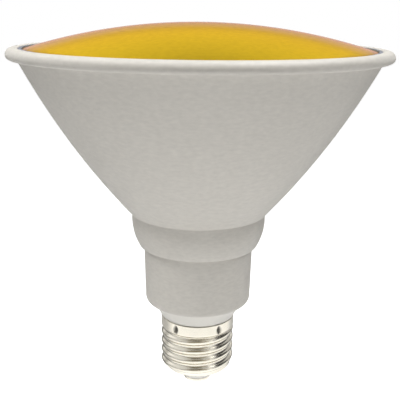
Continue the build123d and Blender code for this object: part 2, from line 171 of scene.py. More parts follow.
class CapSizes(bpy.types.PropertyGroup):
    """Sizes of the E27 screw cap, its insulator and its contact."""

    top: length("Top", "Level of the shell's upper edge", top_of("screw_shell"))
    foot: length("Foot", "Level of the shell's lower lip", foot_of("screw_shell"))
    skirt_radius: length("Skirt radius", "Outer radius of the plain skirt", radius_of("screw_shell"))
    skirt_height: length("Skirt height", "Height of the plain skirt", 3.7 * MM)
    crest_radius: length("Crest radius", "Radius over the thread's crests", 13.1 * MM)
    thread_depth: length("Thread depth", "From crest to root", 1.05 * MM)
    pitch: length("Pitch", "Rise of the thread per turn", 3.629 * MM)
    front_crest: length("Front crest", "Level of a crest at the front", 19.8 * MM)
    corner: length("Corner", "Rounding of the shell's lower corner", 1.3 * MM)
    mouth: length("Mouth", "Radius of the shell's lower opening", 9.4 * MM)
    sheet: length("Sheet", "Thickness of the rolled sheet", 0.35 * MM)
    dent_count: number("Dents", "Crimp dents round the skirt", 5)
    dent_drop: length("Dent drop", "From the shell's upper edge to the dents", 2.1 * MM)
    dent_depth: length("Dent depth", "How deep the dents are pressed", 0.6 * MM)
    dent_width: length("Dent width", "Half width of a dent", 0.9 * MM)
    dent_height: length("Dent height", "Half height of a dent", 1.45 * MM)
    insulator_top: length("Insulator top", "Level of the insulator's upper face", top_of("cap_insulator"))
    contact_radius: length("Contact radius", "Radius of the contact disc", radius_of("centre_contact"))
    contact_height: length("Contact height", "Thickness of the contact disc", foot_of("cap_insulator"))
    stem_radius: length("Stem radius", "Radius of the contact's stem", 1.4 * MM)
    stem_top: length("Stem top", "Level of the stem's upper end", top_of("centre_contact"))
    clearance: length("Clearance", "Gap between the cap's pieces", 0.1 * MM)


class LampColours(bpy.types.PropertyGroup):
    """Colours of the pieces that show."""

    body: colour("Body", "Warm grey of the moulded body", "#C9C5BD")
    collar: colour("Collar", "Off-white of the collar", "#DCD9D1")
    nickel: colour("Nickel", "Warm plated metal of the cap", "#DAD5C8")
    insulator: colour("Insulator", "White of the cap's insulator", "#D4D2CD")
    amber: colour("Amber", "Yellow of the lens seen straight on", "#EED226")
    amber_deep: colour("Deep amber", "Tint of the lens where it is seen at a slant", "#F9F4F6")
    seal: colour("Seal", "Blue-grey silicone of the lens seal", "#7B7E87")


class StudioSettings(bpy.types.PropertyGroup):
    """Camera, floor and lights."""

    distance: length("Distance", "Camera's distance in front of the axis", 227.08 * MM)
    rise: length("Rise", "Camera's height above the rim", 12.2 * MM)
    pitch: lean("Pitch", "Tilt of the camera below the level", 0.276)
    roll: lean("Roll", "Lean of the picture", 0.011)
    focal: level("Focal length", "Focal length in pixels of the photo", 676.7)
    aside: level("Aside", "Sideways place of the lamp in pixels of the photo", -1.3)
    cloth_gap: length("Cloth gap", "From the camera back to the dark cloth behind it", 20.0 * MM)
    cloth_width: length("Cloth width", "Width of the dark cloth", 340.0 * MM)
    cloth_height: length("Cloth height", "Height of the dark cloth", 190.0 * MM)
    cloth_above: length("Cloth top", "How far the dark cloth reaches above the camera", 120.0 * MM)
    cloth: colour("Cloth colour", "Brown of the dark cloth", "#2E2A22")
    # Painted reflection: the cloth glows in this colour in glossy rays only, so the metal shows it lit.
    painted_cloth_shine: colour("Cloth shine", "How the lit cloth shows in the metal", "#A0977D")
    floor_drop: length("Floor drop", "From the contact down to the floor", 250.0 * MM)
    floor_half: length("Floor half width", "Half the width of the floor", 6.0)
    paper: level("Paper", "How much of the light the floor returns", 0.65)
    paper_glow: level("Paper glow", "Light added where the floor is seen, so that it reads as white", 0.95)
    # Painted reflection: the floor's front glows in glossy rays only; this setting and the next three set
    # that glow.
    painted_floor_shine: level("Paper shine", "Light added where the front of the floor shows in metal", 0.72)
    shine_back: length("Shine back", "How far behind the axis that shine begins", 200.0 * MM)
    shine_front: length("Shine front", "How far in front of the axis it is full", 100.0 * MM)
    shine_slant: level("Shine slant", "How much further back it begins for each length to the right", 0.5)
    sky: level("Sky", "Strength of the room's even light", 0.07)
    key: level("Key", "Power of the overhead softbox in watts", 10.6)
    left: level("Left", "Power of the left softbox in watts", 9.8)
    right: level("Right", "Power of the right softbox in watts", 6.4)
    table: level("Table", "Power of the lit table top below the lamp in watts", 0.98)
    wall: level("Wall", "Power of the front wall that shows in the metal in watts", 9.0)
    panel: level("Panel", "Power of the side panels that show in the metal in watts", 3.4)
    strip: level("Strip", "Power of the low strips behind the lamp in watts", 0.38)
    under: level("Under", "Power of the light right under the lamp in watts", 0.05)


def unit(vectors):
    """Vectors of length one."""
    return vectors / np.linalg.norm(vectors, axis=-1, keepdims=True)


def arc(centre, radius, start, end, count=12):
    """Points on a circle between two angles in degrees: centre plus radius times cosine and sine."""
    angle = np.radians(np.linspace(start, end, count))
    return np.column_stack([centre[0] + radius * np.cos(angle), centre[1] + radius * np.sin(angle)])


def bowed(start, end, bulge, count=40):
    """Circular arc from start to end that swells by bulge to the right of its way, spaced evenly by angle."""
    start, end = np.array(start), np.array(end)
    chord = np.linalg.norm(end - start)
    along = (end - start) / chord
    out = np.array([along[1], -along[0]])
    half = 2.0 * math.atan(2.0 * bulge / chord)
    radius = chord / 2.0 / math.sin(half)
    angle = np.linspace(-half, half, count)[:, None]
    return (start + end) / 2.0 + radius * (np.sin(angle) * along + (np.cos(angle) - math.cos(half)) * out)


def rounded(corners, steps=6):
    """Closed profile whose corners, given as radius, height and rounding, become arcs touching both sides."""
    corners = np.array(corners)
    points, rounding = corners[:, :2], corners[:, 2]
    back = unit(np.roll(points, 1, axis=0) - points)
    on = unit(np.roll(points, -1, axis=0) - points)
    half = np.arccos(np.clip((back * on).sum(axis=1), -1.0, 1.0)) / 2.0
    sweep = (math.pi - 2.0 * half)[:, None, None]
    centre = points + unit(back + on) * (rounding / np.sin(half))[:, None]
    first = points + back * (rounding / np.tan(half))[:, None] - centre
    last = points + on * (rounding / np.tan(half))[:, None] - centre
    share = np.linspace(0.0, 1.0, steps)[None, :, None]
    leaving, coming = np.sin((1.0 - share) * sweep), np.sin(share * sweep)
    turn = (leaving * first[:, None] + coming * last[:, None]) / np.sin(sweep)
    line = (centre[:, None] + turn).reshape(-1, 2)
    fresh = np.linalg.norm(line - np.roll(line, 1, axis=0), axis=1) > SAME_POINT
    return line[fresh]


def spaced(line, step, closed=True):
    """Profile with its long stretches divided evenly, so that none is longer than step."""
    end = np.roll(line, -1, axis=0)
    if not closed:
        line, end, tail = line[:-1], end[:-1], line[-1:]
    count = np.maximum(np.ceil(np.linalg.norm(end - line, axis=1) / step), 1).astype(int)
    index = np.repeat(np.arange(len(line)), count)
    share = (np.arange(count.sum()) - np.repeat(np.cumsum(count) - count, count)) / count[index]
    points = line[index] + share[:, None] * (end - line)[index]
    return points if closed else np.vstack([points, tail])


def turned(line, columns):
    """Grid of a profile carried round Z: radius times cosine and sine of the angle, at its own height."""
    angle = np.linspace(0.0, 2.0 * math.pi, columns, endpoint=False)
    radius, height = line[:, :1], line[:, 1:]
    flat = np.ones(columns)
    return np.stack([radius * np.cos(angle), radius * np.sin(angle), height * flat], axis=-1)


def skin(grid, closed=True):
    """Points and faces over a grid whose columns go round; its rows go round too, or end in two poles."""
    rows, columns = grid.shape[:2]
    index = np.arange(rows * columns).reshape(rows, columns)
    points = grid.reshape(-1, 3)
    fans = np.empty((0, 3), int)
    if closed:
        index = np.vstack([index, index[:1]])
    else:
        first, last = rows * columns, rows * columns + 1
        index = index[1:-1]
        points = np.vstack([points, grid[0, 0], grid[-1, 0]])
        low, high = index[0], index[-1]
        fans = np.vstack([
            np.column_stack([np.full(columns, first), np.roll(low, -1), low]),
            np.column_stack([high, np.roll(high, -1), np.full(columns, last)]),
        ])
    index = np.hstack([index, index[:, :1]])
    quads = np.stack([index[:-1, :-1], index[:-1, 1:], index[1:, 1:], index[1:, :-1]], axis=-1).reshape(-1, 4)
    used = np.unique(np.concatenate([quads.ravel(), fans.ravel()]))
    place = np.zeros(len(points), int)
    place[used] = np.arange(len(used))
    return points[used], place[quads], place[fans]


def piece(name, skins, material, painted_shade_share=None):
    """One object from its skins, standing for the solid of the same name and riding on the lamp.

    The painted shade share gives each point its share of the finish's painted shade.
    """
    points, faces, base = [], [], 0
    for skin_points, quads, fans in skins:
        points.append(skin_points)
        faces += (quads + base).tolist() + (fans + base).tolist()
        base += len(skin_points)
    mesh = bpy.data.meshes.new(name + "_surface")
    mesh.from_pydata(np.vstack(points), [], faces)
    mesh.polygons.foreach_set("use_smooth", np.ones(len(mesh.polygons), bool))
    mesh.materials.append(material)
    if painted_shade_share is not None:
        mesh.attributes.new("shade", "FLOAT", "POINT").data.foreach_set("value", painted_shade_share)
    mesh.update()
    made = bpy.data.objects.new(name + "_surface", mesh)
    bpy.context.scene.collection.objects.link(made)
    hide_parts(name)
    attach(made, "root")


def add(tree, kind, links=None, **settings):
    """Adds a node; settings are its own, and links gives each input a value or another node's output."""
    made = tree.nodes.new(kind)
    for key, value in settings.items():
        setattr(made, key, value)
    for key, value in (links or {}).items():
        if isinstance(value, bpy.types.NodeSocket):
            tree.links.new(value, made.inputs[key])
        else:
            made.inputs[key].default_value = value
    return made


def shade(colour_value, factor):
    """Colour times a factor, as a socket takes it."""
    return (*(min(channel * factor, 1.0) for channel in colour_value), 1.0)


def finish(name, surface, tone, grain, contrast=0.06, relief=0.02, roughness=(0.4, 0.5), painted_shade_depth=0.0):
    """Principled finish: a noise varies colour, roughness and relief.

    Grain is the noise's size, one for all ways or one each for X, Y and Z, and relief its height, both in mm.
    The painted shade depth is how much the mesh's own shade attribute darkens the colour: painted shade.
    """
    made = bpy.data.materials.new(name)
    made.use_nodes = True
    tree = made.node_tree
    tree.nodes.clear()
    place = add(tree, "ShaderNodeTexCoord").outputs["Object"]
    scale = tuple(1.0 / (size * MM) for size in np.broadcast_to(grain, 3))
    grid = add(tree, "ShaderNodeMapping", {"Vector": place, "Scale": scale})
    noise = add(tree, "ShaderNodeTexNoise", {"Vector": grid.outputs[0], "Scale": 1.0, "Detail": 3.0})
    tint = add(
        tree,
        "ShaderNodeMix",
        {0: noise.outputs["Fac"], "A": shade(tone, 1.0 - contrast), "B": shade(tone, 1.0 + contrast)},
        data_type="RGBA",
    )
    rough = add(
        tree,
        "ShaderNodeMapRange",
        {"Value": noise.outputs["Fac"], "To Min": roughness[0], "To Max": roughness[1]},
    )
    bump = add(
        tree, "ShaderNodeBump", {"Height": noise.outputs["Fac"], "Distance": relief * MM, "Strength": 1.0}
    )
    shader = add(
        tree,
        "ShaderNodeBsdfPrincipled",
        {"Roughness": rough.outputs[0], "Normal": bump.outputs[0], **surface},
    )
    # Painted shade: the mesh's shade attribute mixes the colour towards black.
    if painted_shade_depth:
        painted_shade_mark = add(tree, "ShaderNodeAttribute", attribute_name="shade")
        share = add(tree, "ShaderNodeMath", {0: painted_shade_mark.outputs["Fac"], 1: painted_shade_depth}, operation="MULTIPLY")
        tint = add(
            tree,
            "ShaderNodeMix",
            {0: share.outputs[0], "A": tint.outputs["Result"], "B": shade(tone, 0.0)},
            data_type="RGBA",
        )
    tree.links.new(tint.outputs["Result"], shader.inputs["Base Color"])
    add(tree, "ShaderNodeOutputMaterial", {"Surface": shader.outputs[0]})
    return made


def sharp(points):
    """Corners without rounding."""
    return np.column_stack([points, np.zeros(len(points))])


def body_profile(size):
    """Closed half section of the body: neck, bowl arc, bowed cone and bead, then recess and wall inside."""
    bowl_lip = size.foot + size.neck_height
    cone_lip = bowl_lip + size.bowl_height
    cone_top = size.rim_top - size.rim_over - size.rim_under
    bore = size.neck_foot_radius - size.wall
    seat_bore = size.bowl_foot_radius - size.wall
    run = size.bowl_height - size.bowl_straight
    taper = size.bowl_top_radius - size.bowl_foot_radius
    swing = (run**2 + taper**2) / (2.0 * taper)
    low = -math.degrees(math.asin(run / swing))
    bowl = arc((size.bowl_top_radius - swing, cone_lip - size.bowl_straight), swing, low, 0.0)
    cone = bowed((size.cone_foot_radius, cone_lip), (size.cone_top_radius, cone_top), size.cone_bulge)
    climb = cone_top - cone_lip
    steep = climb / math.hypot(climb, size.cone_top_radius - size.cone_foot_radius)
    inside = cone[::-1] - (size.wall / steep, 0.0)
    throat_level = np.interp(size.throat, inside[::-1, 0], inside[::-1, 1])
    under = arc((size.rim_radius - size.rim_under, cone_top + size.rim_under), size.rim_under, -90.0, 0.0)
    over = arc((size.rim_radius - size.rim_over, size.rim_top - size.rim_over), size.rim_over, 0.0, 90.0)
    lip = size.lip_round
    corners = np.vstack([
        (bore, size.foot, lip / 2),
        (size.neck_foot_radius, size.foot, size.neck_round),
        (size.neck_top_radius, bowl_lip, lip),
        (*bowl[0], lip),
        sharp(bowl[1:]),
        (size.bowl_top_radius, cone_lip, lip / 2),
        (*cone[0], lip / 2),
        sharp(cone[1:-1]),
        (*cone[-1], 1.5 * lip),
        sharp(under),
        sharp(over[1:]),
        (size.opening, size.rim_top, lip),
        (size.opening, size.rim_top - size.recess, lip / 2),
        (size.throat, size.rim_top - size.recess, lip / 2),
        (size.throat, throat_level, lip / 2),
        sharp(inside[inside[:, 0] < size.throat]),
        (seat_bore, cone_lip, lip / 2),
        (seat_bore, bowl_lip + size.cup_seat, lip / 2),
        (bore, bowl_lip + size.cup_seat, lip / 2),
    ])
    return spaced(rounded(corners), BODY_STEP)


def boss_grid(size, angle):
    """Screw boss: rings about its own axis, the first two as high as the cone's wall is at their points."""
    cone_lip = size.foot + size.neck_height + size.bowl_height
    cone_top = size.rim_top - size.rim_over - size.rim_under
    cone = bowed((size.cone_foot_radius, cone_lip), (size.cone_top_radius, cone_top), size.cone_bulge)
    ring = np.linspace(0.0, 2.0 * math.pi, BOSS_COLUMNS, endpoint=False)
    outer, pilot = size.boss_radius, size.pilot_radius
    reach = np.array([0.0, outer, outer, pilot, pilot, 0.0])[:, None]
    x = size.boss_circle * math.cos(angle) + reach * np.cos(ring)
    y = size.boss_circle * math.sin(angle) + reach * np.sin(ring)
    foot = np.interp(np.hypot(x, y), cone[:, 0] - size.wall, cone[:, 1])
    depth = np.array([0.0, 0.0, 0.0, 0.0, size.pilot_depth, size.pilot_depth])[:, None]
    rests = np.array([True, True, False, False, False, False])[:, None]
    return np.stack([x, y, np.where(rests, foot, size.boss_top - depth)], axis=-1)


def lens_profile(size):
    """Half section of the lens from inner to outer apex: two arcs about one centre and the edge wall."""
    rise = size.top - size.foot - size.edge
    sphere = (size.radius**2 + rise**2) / (2.0 * rise)
    centre = size.top - sphere
    inner_radius, inner_sphere = size.radius - size.thickness, sphere - size.thickness
    outer_edge = math.degrees(math.acos(size.radius / sphere))
    inner_edge = math.degrees(math.acos(inner_radius / inner_sphere))
    outer = arc((0.0, centre), sphere, outer_edge, 90.0, count=48)
    inner = arc((0.0, centre), inner_sphere, 90.0, inner_edge, count=48)
    corners = np.vstack([
        sharp(inner[:-1]),
        (*inner[-1], size.edge_round),
        (inner_radius, size.foot, size.edge_round / 3),
        (size.radius, size.foot, size.edge_round / 3),
        (*outer[0], size.edge_round),
        sharp(outer[1:]),
    ])
    corners[0, 0] = 0.0
    corners[-1, 0] = 0.0
    return spaced(rounded(corners), LENS_STEP, closed=False)


def painted_lens_shade(size, points):
    """Painted shade: a darker edge where the dome goes into its seal and a soft darker patch at the front
    that falls off evenly.
    """
    middle = (0.0, -size.radius, size.foot)
    reach = (size.painted_patch_width, size.painted_patch_reach, size.painted_patch_reach)
    patch = 1.0 - np.linalg.norm((points - middle) / reach, axis=1)
    edge = (np.hypot(points[:, 0], points[:, 1]) - size.radius + size.painted_edge_band) / size.painted_edge_band
    return np.clip(np.maximum(patch, size.painted_edge_shade * edge), 0.0, 1.0)


def knuckle(along, pitch, depth):
    """Rolled thread as equal arcs whose crests and roots meet halfway: one at a crest and none at a root."""
    slope = 2.0 * math.atan(2.0 * depth / pitch)
    radius = pitch / 4.0 / math.sin(slope)
    off = np.abs((along + pitch / 2.0) % pitch - pitch / 2.0)
    crest = depth - radius + np.sqrt(radius**2 - np.minimum(off, pitch / 4.0) ** 2)
    root = radius - np.sqrt(radius**2 - np.minimum(pitch / 2.0 - off, pitch / 4.0) ** 2)
    return np.where(off < pitch / 4.0, crest, root) / depth


def dented(size, angle, height):
    """Crimp dents round the skirt as flat-topped bells: one at a dent's middle and none between dents."""
    apart = 2.0 * math.pi / size.dent_count
    off = (angle - math.pi / 2.0 + apart / 2.0) % apart - apart / 2.0
    aside = off * size.skirt_radius / size.dent_width
    below = (height - size.top + size.dent_drop) / size.dent_height
    return np.exp(-((aside**2 + below**2) ** 2))


def shell_grid(size):
    """Rolled shell: its section carried round Z, swelled by the thread along a right-handed helix, dented."""
    root = size.crest_radius - size.thread_depth
    skirt_foot = size.top - size.skirt_height
    flare_foot = skirt_foot - size.thread_depth
    soft = size.sheet
    corners = [
        (size.mouth, size.foot, soft / 3),
        (root, size.foot, size.corner),
        (root, flare_foot, 2 * soft),
        (size.skirt_radius, skirt_foot, 2 * soft),
        (size.skirt_radius, size.top, soft / 3),
        (size.skirt_radius - size.sheet, size.top, soft / 3),
        (size.skirt_radius - size.sheet, skirt_foot, 2 * soft),
        (root - size.sheet, flare_foot, 2 * soft),
        (root - size.sheet, size.foot + size.sheet, size.corner - size.sheet),
        (size.mouth, size.foot + size.sheet, soft / 3),
    ]
    line = spaced(rounded(corners), SHELL_STEP)
    angle = np.linspace(0.0, 2.0 * math.pi, SHELL_COLUMNS, endpoint=False)
    radius, height = line[:, :1], line[:, 1:]
    along = height - size.front_crest - size.pitch * (angle + math.pi / 2.0) / (2.0 * math.pi)
    rising = np.clip((height - size.foot - size.corner / 2) / size.corner, 0.0, 1.0)
    fading = np.clip((skirt_foot - height) / size.thread_depth, 0.0, 1.0)
    swell = size.thread_depth * rising * fading * knuckle(along, size.pitch, size.thread_depth)
    reach = radius + swell - size.dent_depth * dented(size, angle, height)
    return np.stack([reach * np.cos(angle), reach * np.sin(angle), height * np.ones(SHELL_COLUMNS)], axis=-1)


def insulator_profile(size):
    """Closed half section of the insulating cone, rounded at its nose and at the shell's mouth."""
    bore = size.stem_radius + size.clearance
    shoulder = size.mouth - size.clearance
    rim = size.crest_radius - size.thread_depth - size.sheet - size.clearance
    seat = size.foot + size.sheet
    tight = size.clearance / 2
    corners = [
        (bore, size.contact_height, tight),
        (size.contact_radius, size.contact_height, 3 * size.clearance),
        (shoulder, size.foot, 4 * size.clearance),
        (shoulder, seat, tight),
        (rim - size.corner, seat, tight),
        (rim, seat + size.corner, tight / 2),
        (rim, size.insulator_top, tight / 2),
        (bore, size.insulator_top, tight),
    ]
    return spaced(rounded(corners), INSULATOR_STEP)


def contact_profile(size):
    """Half section of the contact disc and its stem, from the axis round to the axis again."""
    soft = size.clearance
    corners = [
        (0.0, 0.0, 0.0),
        (size.contact_radius, 0.0, 4 * soft),
        (size.contact_radius, size.contact_height, 2 * soft),
        (size.stem_radius, size.contact_height, soft),
        (size.stem_radius, size.stem_top, soft),
        (0.0, size.stem_top, 0.0),
    ]
    return spaced(rounded(corners), CONTACT_STEP, closed=False)


def body_finish(colours):
    """Polyester moulding with a fine satin texture: a soft, even grey with faint level streaks from the tool.

    The real texture, about a tenth of a millimetre, is too fine to show, so it is drawn coarser.
    """
    return finish(
        "Satin polyester moulding", {"IOR": 1.57}, colours.body, (2.0, 2.0, 0.8),
        contrast=0.13, relief=0.02, roughness=(0.42, 0.52),
    )


def lens_finish(colours):
    """Dyed polycarbonate with a pebbled back: a bright yellow that turns orange where it is seen at a slant.

    The thin coat only tints, more so the longer the way through it, as the dye does. The pebbles, about half
    a millimetre, are drawn coarser so that they show. The mesh's shade attribute paints shade into the
    colour, darker at the front and at the edge.
    """
    return finish(
        "Moulded amber polycarbonate",
        {
            "IOR": 1.585, "Specular IOR Level": 0.2, "Coat Weight": 1.0, "Coat IOR": 1.005,
            "Coat Roughness": 0.2, "Coat Tint": (*colours.amber_deep, 1.0),
        },
        # Painted shade: the last setting darkens the colour by the mesh's shade attribute, at the front and
        # at the edge.
        colours.amber, 1.5, contrast=0.15, relief=0.012, roughness=(0.12, 0.2), painted_shade_depth=0.58,
    )


def nickel_finish(colours):
    """Nickel plate on rolled sheet: a warm mirror, dulled in patches by handling, with painted shade in the
    dents.
    """
    return finish(
        "Bright nickel plate on rolled brass", {"Metallic": 1.0}, colours.nickel, 2.5,
        # Painted shade: the last setting darkens the colour in the dents by the mesh's shade attribute.
        contrast=0.04, relief=0.003, roughness=(0.17, 0.27), painted_shade_depth=0.92,
    )


def collar_finish(colours):
    """Smooth moulded polycarbonate: a clean off-white with a mild sheen."""
    return finish(
        "Smooth moulded polycarbonate", {"IOR": 1.585}, colours.collar, 1.5,
        contrast=0.015, relief=0.005, roughness=(0.3, 0.38),
    )


def insulator_finish(colours):
    """Heat-proof moulding compound: plain white with a slight gloss."""
    return finish(
        "Pressed white urea", {"IOR": 1.5}, colours.insulator, 1.0,
        contrast=0.02, relief=0.008, roughness=(0.3, 0.4),
    )


def seal_finish(colours):
    """Silicone rubber: a dull blue-grey that takes little light in its groove."""
    return finish(
        "Moulded silicone rubber", {"IOR": 1.41}, colours.seal, 0.8,
        contrast=0.05, relief=0.01, roughness=(0.5, 0.65),
    )


# What the pieces inside are made of: name, colour, kind of surface, grain in mm, drawn coarse enough to show,
# and roughness. The line above each says what that gives the eye.
INSIDE = {
    # Dull silver with the soft sheen of rolled sheet
    "heat_sink": ("Pressed aluminium", "#DADBDC", {"Metallic": 1.0}, 1.2, (0.3, 0.42)),
    # Clean white lacquer with a slight gloss
    "led_board": ("Printed white solder mask", "#F0F0EC", {"IOR": 1.5}, 0.8, (0.35, 0.45)),
    # Deep yellow pads with a soft gloss
    "leds": ("Cast phosphor resin", "#F2D65A", {"IOR": 1.45}, 0.6, (0.3, 0.4)),
    # Bright grey metal, a little cloudy
    "board_screws": ("Zinc-plated steel", "#BDBDB9", {"Metallic": 1.0}, 0.7, (0.28, 0.4)),
    # Milky white, half dull
    "lead_connector": ("Moulded natural nylon", "#EDEAE0", {"IOR": 1.53}, 0.7, (0.35, 0.45)),
    # Rubbery wire coats with a soft sheen, told apart by colour
    "led_lead_positive": ("Extruded red silicone", "#B3241C", {"IOR": 1.41}, 0.5, (0.4, 0.5)),
    "led_lead_negative": ("Extruded black silicone", "#232323", {"IOR": 1.41}, 0.5, (0.4, 0.5)),
    "live_lead": ("Extruded brown silicone", "#5B3A24", {"IOR": 1.41}, 0.5, (0.4, 0.5)),
    "neutral_lead": ("Extruded blue silicone", "#234E96", {"IOR": 1.41}, 0.5, (0.4, 0.5)),
    # Deep green lacquer with a mild gloss
    "driver_board": ("Printed green solder mask", "#2E6B3C", {"IOR": 1.5}, 0.9, (0.3, 0.42)),
    # Dull brown-grey and black-grey ceramics
    "transformer": ("Pressed ferrite core", "#4A473F", {"IOR": 1.6}, 0.6, (0.5, 0.62)),
    "filter_choke": ("Sintered ferrite drum", "#3A3A3C", {"IOR": 1.6}, 0.5, (0.5, 0.62)),
    # Tight glossy sleeves
    "bulk_capacitor": ("Blue shrink-wrapped vinyl", "#26304A", {"IOR": 1.5}, 0.8, (0.25, 0.35)),
    "output_capacitor": ("Black shrink-wrapped vinyl", "#2B2E38", {"IOR": 1.5}, 0.8, (0.25, 0.35)),
    # Thick glossy skin, slightly uneven
    "film_capacitor": ("Dipped yellow epoxy", "#C9A227", {"IOR": 1.5}, 0.7, (0.3, 0.4)),
    # Chalky, stone-like skin
    "fuse_resistor": ("Dipped cement coat", "#B9AD92", {"IOR": 1.5}, 0.4, (0.55, 0.68)),
    # Dull black with a fine grain
    "bridge_rectifier": ("Moulded epoxy", "#2A2A2B", {"IOR": 1.5}, 0.4, (0.45, 0.55)),
    "driver_chip": ("Fine moulded epoxy", "#2D2D2F", {"IOR": 1.5}, 0.3, (0.42, 0.52)),
}


def dress(node, made):
    """Gives a solid that stays a better finish in each of its material slots."""
    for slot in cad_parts[node].material_slots:
        slot.material = made


class LAMP_OT_body(bpy.types.Operator):
    """Turns the body's moulding with its lips, bead and screw bosses"""

    bl_idname = "lamp.body"
    bl_label = "Body"

    def execute(self, context):
        size = context.scene.lamp_body
        moulding = skin(turned(body_profile(size), BODY_COLUMNS))
        angles = math.pi / 2.0 + 2.0 * math.pi * np.arange(size.boss_count) / size.boss_count
        bosses = [skin(boss_grid(size, angle), closed=False) for angle in angles]
        piece("housing", [moulding, *bosses], body_finish(context.scene.lamp_colours))
        return {"FINISHED"}


class LAMP_OT_lens(bpy.types.Operator):
    """Turns the domed lens and dresses the seal in its groove"""

    bl_idname = "lamp.lens"
    bl_label = "Lens and seal"

    def execute(self, context):
        size, colours = context.scene.lamp_lens, context.scene.lamp_colours
        dome = skin(turned(lens_profile(size), LENS_COLUMNS), closed=False)
        # Painted shade on the lens, from its front patch and its edge.
        piece("lens", [dome], lens_finish(colours), painted_lens_shade(size, dome[0]))
        dress("lens_seal", seal_finish(colours))
        return {"FINISHED"}


class LAMP_OT_cap(bpy.types.Operator):
    """Rolls the screw shell and turns the insulator and the contact"""

    bl_idname = "lamp.cap"
    bl_label = "Screw cap"

    def execute(self, context):
        size, colours = context.scene.lamp_cap, context.scene.lamp_colours
        nickel = nickel_finish(colours)
        shell = skin(shell_grid(size))
        x, y, z = shell[0].T
        # Painted shade in the dents, from the same bells that press them.
        piece("screw_shell", [shell], nickel, dented(size, np.arctan2(y, x), z))
        cone = skin(turned(insulator_profile(size), INSULATOR_COLUMNS))
        piece("cap_insulator", [cone], insulator_finish(colours))
        disc = skin(turned(contact_profile(size), CONTACT_COLUMNS), closed=False)
        piece("centre_contact", [disc], nickel)
        return {"FINISHED"}


class LAMP_OT_inside(bpy.types.Operator):
    """Dresses the driver cup with its collar and every piece that is held inside"""

    bl_idname = "lamp.inside"
    bl_label = "Collar and inside"

    def execute(self, context):
        dress("driver_cup", collar_finish(context.scene.lamp_colours))
        for node, (name, code, surface, grain, roughness) in INSIDE.items():
            dress(node, finish(name, surface, linear(code), grain, roughness=roughness))
        return {"FINISHED"}


# Softboxes: place, width and length in metres, the level they face as a share of the rim's, the setting that
# gives their power, their share of it, and whether they light the lamp, only show in its gloss, or both.
SOFTBOXES = {
    "Overhead softbox": ((0.35, 0.05, 1.6), (1.0, 1.0), 0.5, "key", 1.0, "lights and shows"),
    "Left softbox": ((-0.6, -0.15, 0.95), (0.4, 0.4), 0.5, "left", 1.0, "lights"),
    "Right softbox": ((0.6, -0.15, 0.95), (0.4, 0.4), 0.5, "right", 1.0, "lights"),
    "Table": ((0.0, -0.45, -0.1), (0.55, 0.37), 0.5, "table", 1.0, "lights"),
    "Back strip": ((0.0, 0.6, 0.15), (1.6, 0.08), 1.0, "strip", 1.0, "lights and shows"),
    "Upper strip": ((0.0, 0.6, 0.2275), (1.6, 0.075), 1.0, "strip", 0.45, "lights and shows"),
    "Front wall": ((0.0, -1.5, 0.3), (3.0, 1.6), 0.5, "wall", 1.0, "shows"),
    "Left panel": ((-0.7, -0.1, 0.55), (1.1, 1.1), 0.5, "panel", 1.0, "shows"),
    "Right panel": ((0.52, -0.58, 0.55), (0.6, 1.1), 0.5, "panel", 0.55, "shows"),
    "Left rear panel": ((-0.615, 0.48, 0.55), (0.63, 1.1), 0.5, "panel", 0.3, "shows"),
    "Right rear panel": ((0.615, 0.48, 0.55), (0.63, 1.1), 0.5, "panel", 0.36, "shows"),
    "Under": ((0.0, 0.0, -0.1), (0.3, 0.3), 0.5, "under", 1.0, "lights and shows"),
}


def softbox(name, place, extent, aim, power, part):
    """Area lamp of a width and a length that faces a point and lights things, shows in gloss, or both."""
    data = bpy.data.lights.new(name, "AREA")
    data.shape = "RECTANGLE"
    data.size, data.size_y = extent
    data.energy = power
    made = bpy.data.objects.new(name, data)
    made.location = place
    made.visible_camera = False
    made.visible_diffuse = "lights" in part
    made.visible_glossy = "shows" in part
    made.rotation_mode = "QUATERNION"
    made.rotation_quaternion = (aim - made.location).to_track_quat("-Z", "Y")
    bpy.context.scene.collection.objects.link(made)


